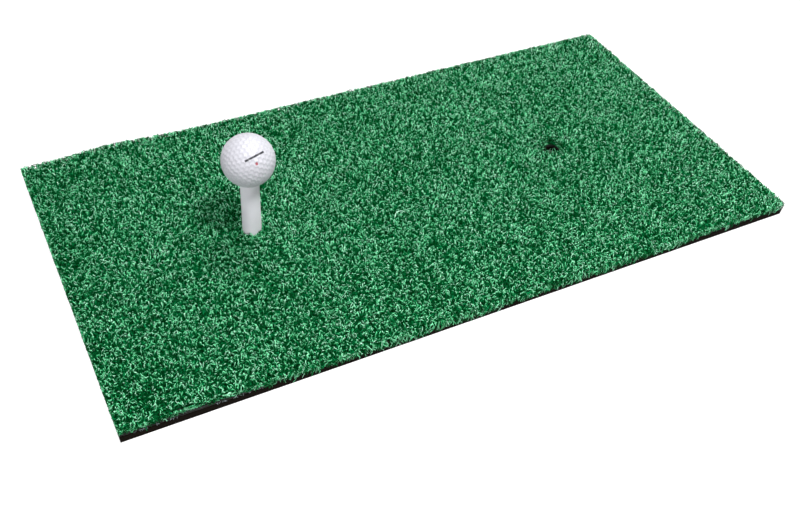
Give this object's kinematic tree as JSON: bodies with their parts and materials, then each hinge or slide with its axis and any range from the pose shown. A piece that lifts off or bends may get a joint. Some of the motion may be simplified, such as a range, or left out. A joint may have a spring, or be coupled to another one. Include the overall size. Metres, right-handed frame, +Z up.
{
  "type": "golf hitting mat",
  "caption": "Flat rectangular golf hitting mat: green tufted turf on a black foam base, with a hollow rubber tee through a punched hole, a spare tee hole and a ball seated on the tee.",
  "frame": {"origin": "on the floor, under the middle of the mat", "axes": "+X along the mat's long side from the tee towards the spare hole, +Y across it, +Z up from the floor"},
  "size_m": [0.6, 0.304, 0.1072],
  "materials": {
    "black_foam": "matte",
    "hot_melt_glue": "satin",
    "latex_coat": "matte",
    "woven_tape": "matte",
    "green_nylon": "matte",
    "white_rubber": "matte",
    "core_rubber": "matte",
    "white_cover": "gloss"
  },
  "bodies": {
    "tee": {"rubber_tee": "white_rubber"},
    "mat": {"foam_base": "black_foam", "glue_film": "hot_melt_glue", "latex_backcoat": "latex_coat", "woven_backing": "woven_tape", "turf_pile": "green_nylon"},
    "ball": {"ball_core": "core_rubber", "ball_cover_upper": "white_cover", "ball_cover_lower": "white_cover"}
  },
  "joints": [
    {"name": "mat_lift", "type": "slide", "parent": "tee", "child": "mat", "axis": [0, 0, 1], "range_m": [0, 0.072]},
    {"name": "ball_lift", "type": "slide", "parent": "mat", "child": "ball", "axis": [0, 0, 1], "range_m": [0, 0.1]}
  ]
}
